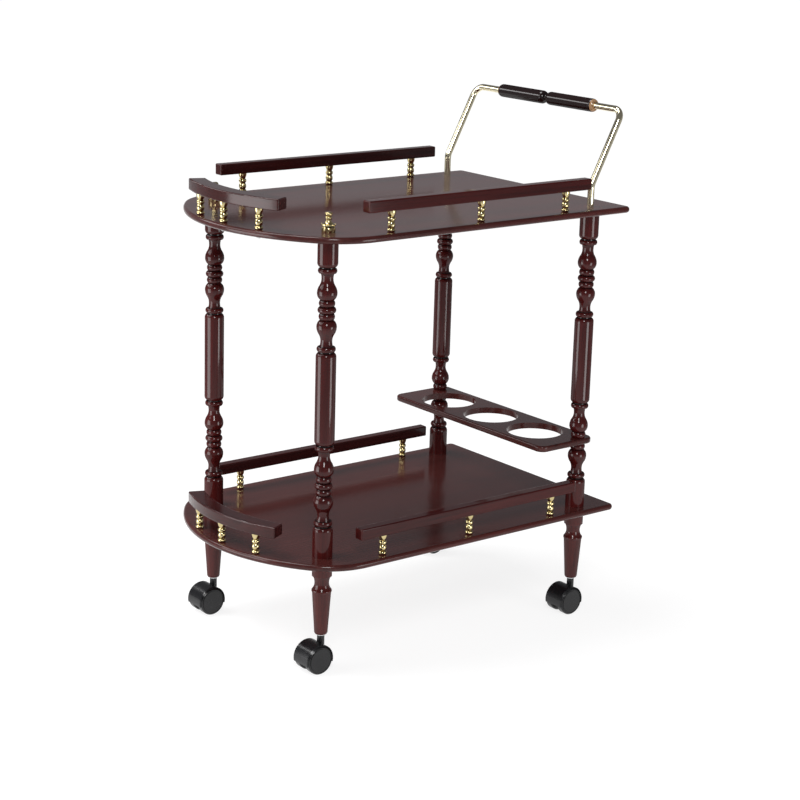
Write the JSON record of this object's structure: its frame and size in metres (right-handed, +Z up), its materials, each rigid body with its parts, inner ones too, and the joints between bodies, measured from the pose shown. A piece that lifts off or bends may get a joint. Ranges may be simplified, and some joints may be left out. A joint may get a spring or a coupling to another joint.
{
  "type": "serving cart",
  "caption": "Rolling serving cart with bowed wood shelves, turned legs, gallery rails on brass posts, a bottle rack, a brass push handle and swivel casters.",
  "frame": {"origin": "on the floor, at the middle of the overall length and width", "axes": "+X along the cart towards the push handle, -Y the front long side, +Z up"},
  "size_m": [0.6286, 0.4, 0.7937],
  "materials": {
    "shelf_wood": "high-gloss lacquer over a deep cherry stain with fine straight grain",
    "rack_wood": "high-gloss lacquer over a deep cherry stain with fine straight grain",
    "rail_wood": "high-gloss lacquer over a deep cherry stain with fine straight grain",
    "leg_wood": "high-gloss lacquer over a deep cherry stain with fine straight grain",
    "foot_wood": "high-gloss lacquer over a deep cherry stain with fine straight grain",
    "grip_wood": "high-gloss lacquer over a deep cherry stain with fine straight grain",
    "turned_brass": "polished",
    "tube_brass": "polished and lacquered",
    "steel": "zinc plated",
    "hood_plastic": "satin black moulding",
    "wheel_plastic": "satin black moulding"
  },
  "bodies": {
    "cart": {"bottle_rack": "rack_wood", "caster_sockets": "steel", "foot_bolts": "steel", "front_handle_tube": "tube_brass", "front_left_finial": "turned_brass", "front_left_foot": "foot_wood", "front_left_leg": "leg_wood", "front_right_foot": "foot_wood", "front_right_lower_leg": "leg_wood", "front_right_upper_leg": "leg_wood", "handle_grip": "grip_wood", "handle_studs": "steel", "lower_bow_rail": "rail_wood", "lower_bow_rail_posts": "turned_brass", "lower_front_rail": "rail_wood", "lower_front_rail_posts": "turned_brass", "lower_rail_screws": "steel", "lower_rear_rail": "rail_wood", "lower_rear_rail_posts": "turned_brass", "lower_shelf": "shelf_wood", "rack_bolts": "steel", "rear_handle_tube": "tube_brass", "rear_left_finial": "turned_brass", "rear_left_foot": "foot_wood", "rear_left_leg": "leg_wood", "rear_right_foot": "foot_wood", "rear_right_lower_leg": "leg_wood", "rear_right_upper_leg": "leg_wood", "top_bow_rail": "rail_wood", "top_bow_rail_posts": "turned_brass", "top_front_rail": "rail_wood", "top_front_rail_posts": "turned_brass", "top_rail_screws": "steel", "top_rear_rail": "rail_wood", "top_rear_rail_posts": "turned_brass", "top_shelf": "shelf_wood"},
    "front_left_caster": {"front_left_caster_hood": "hood_plastic", "front_left_caster_stem": "steel", "front_left_caster_axle": "steel"},
    "front_left_near_wheel": {"front_left_caster_near_wheel": "wheel_plastic"},
    "front_left_far_wheel": {"front_left_caster_far_wheel": "wheel_plastic"},
    "rear_left_caster": {"rear_left_caster_hood": "hood_plastic", "rear_left_caster_stem": "steel", "rear_left_caster_axle": "steel"},
    "rear_left_near_wheel": {"rear_left_caster_near_wheel": "wheel_plastic"},
    "rear_left_far_wheel": {"rear_left_caster_far_wheel": "wheel_plastic"},
    "front_right_caster": {"front_right_caster_hood": "hood_plastic", "front_right_caster_stem": "steel", "front_right_caster_axle": "steel"},
    "front_right_near_wheel": {"front_right_caster_near_wheel": "wheel_plastic"},
    "front_right_far_wheel": {"front_right_caster_far_wheel": "wheel_plastic"},
    "rear_right_caster": {"rear_right_caster_hood": "hood_plastic", "rear_right_caster_stem": "steel", "rear_right_caster_axle": "steel"},
    "rear_right_near_wheel": {"rear_right_caster_near_wheel": "wheel_plastic"},
    "rear_right_far_wheel": {"rear_right_caster_far_wheel": "wheel_plastic"}
  },
  "joints": [
    {"name": "front_left_swivel", "type": "hinge", "parent": "cart", "child": "front_left_caster", "pos_m": [-0.21732, -0.14203, 0.05], "axis": [0, 0, 1], "continuous": true},
    {"name": "front_left_near_wheel_spin", "type": "hinge", "parent": "front_left_caster", "child": "front_left_near_wheel", "pos_m": [-0.22983, -0.14203, 0.021], "axis": [0, 1, 0], "continuous": true},
    {"name": "front_left_far_wheel_spin", "type": "hinge", "parent": "front_left_caster", "child": "front_left_far_wheel", "pos_m": [-0.22983, -0.14203, 0.021], "axis": [0, 1, 0], "continuous": true},
    {"name": "rear_left_swivel", "type": "hinge", "parent": "cart", "child": "rear_left_caster", "pos_m": [-0.21732, 0.14203, 0.05], "axis": [0, 0, 1], "continuous": true},
    {"name": "rear_left_near_wheel_spin", "type": "hinge", "parent": "rear_left_caster", "child": "rear_left_near_wheel", "pos_m": [-0.22983, 0.14203, 0.021], "axis": [0, 1, 0], "continuous": true},
    {"name": "rear_left_far_wheel_spin", "type": "hinge", "parent": "rear_left_caster", "child": "rear_left_far_wheel", "pos_m": [-0.22983, 0.14203, 0.021], "axis": [0, 1, 0], "continuous": true},
    {"name": "front_right_swivel", "type": "hinge", "parent": "cart", "child": "front_right_caster", "pos_m": [0.24768, -0.16883, 0.05], "axis": [0, 0, 1], "continuous": true},
    {"name": "front_right_near_wheel_spin", "type": "hinge", "parent": "front_right_caster", "child": "front_right_near_wheel", "pos_m": [0.23517, -0.16883, 0.021], "axis": [0, 1, 0], "continuous": true},
    {"name": "front_right_far_wheel_spin", "type": "hinge", "parent": "front_right_caster", "child": "front_right_far_wheel", "pos_m": [0.23517, -0.16883, 0.021], "axis": [0, 1, 0], "continuous": true},
    {"name": "rear_right_swivel", "type": "hinge", "parent": "cart", "child": "rear_right_caster", "pos_m": [0.24768, 0.16883, 0.05], "axis": [0, 0, 1], "continuous": true},
    {"name": "rear_right_near_wheel_spin", "type": "hinge", "parent": "rear_right_caster", "child": "rear_right_near_wheel", "pos_m": [0.23517, 0.16883, 0.021], "axis": [0, 1, 0], "continuous": true},
    {"name": "rear_right_far_wheel_spin", "type": "hinge", "parent": "rear_right_caster", "child": "rear_right_far_wheel", "pos_m": [0.23517, 0.16883, 0.021], "axis": [0, 1, 0], "continuous": true}
  ]
}
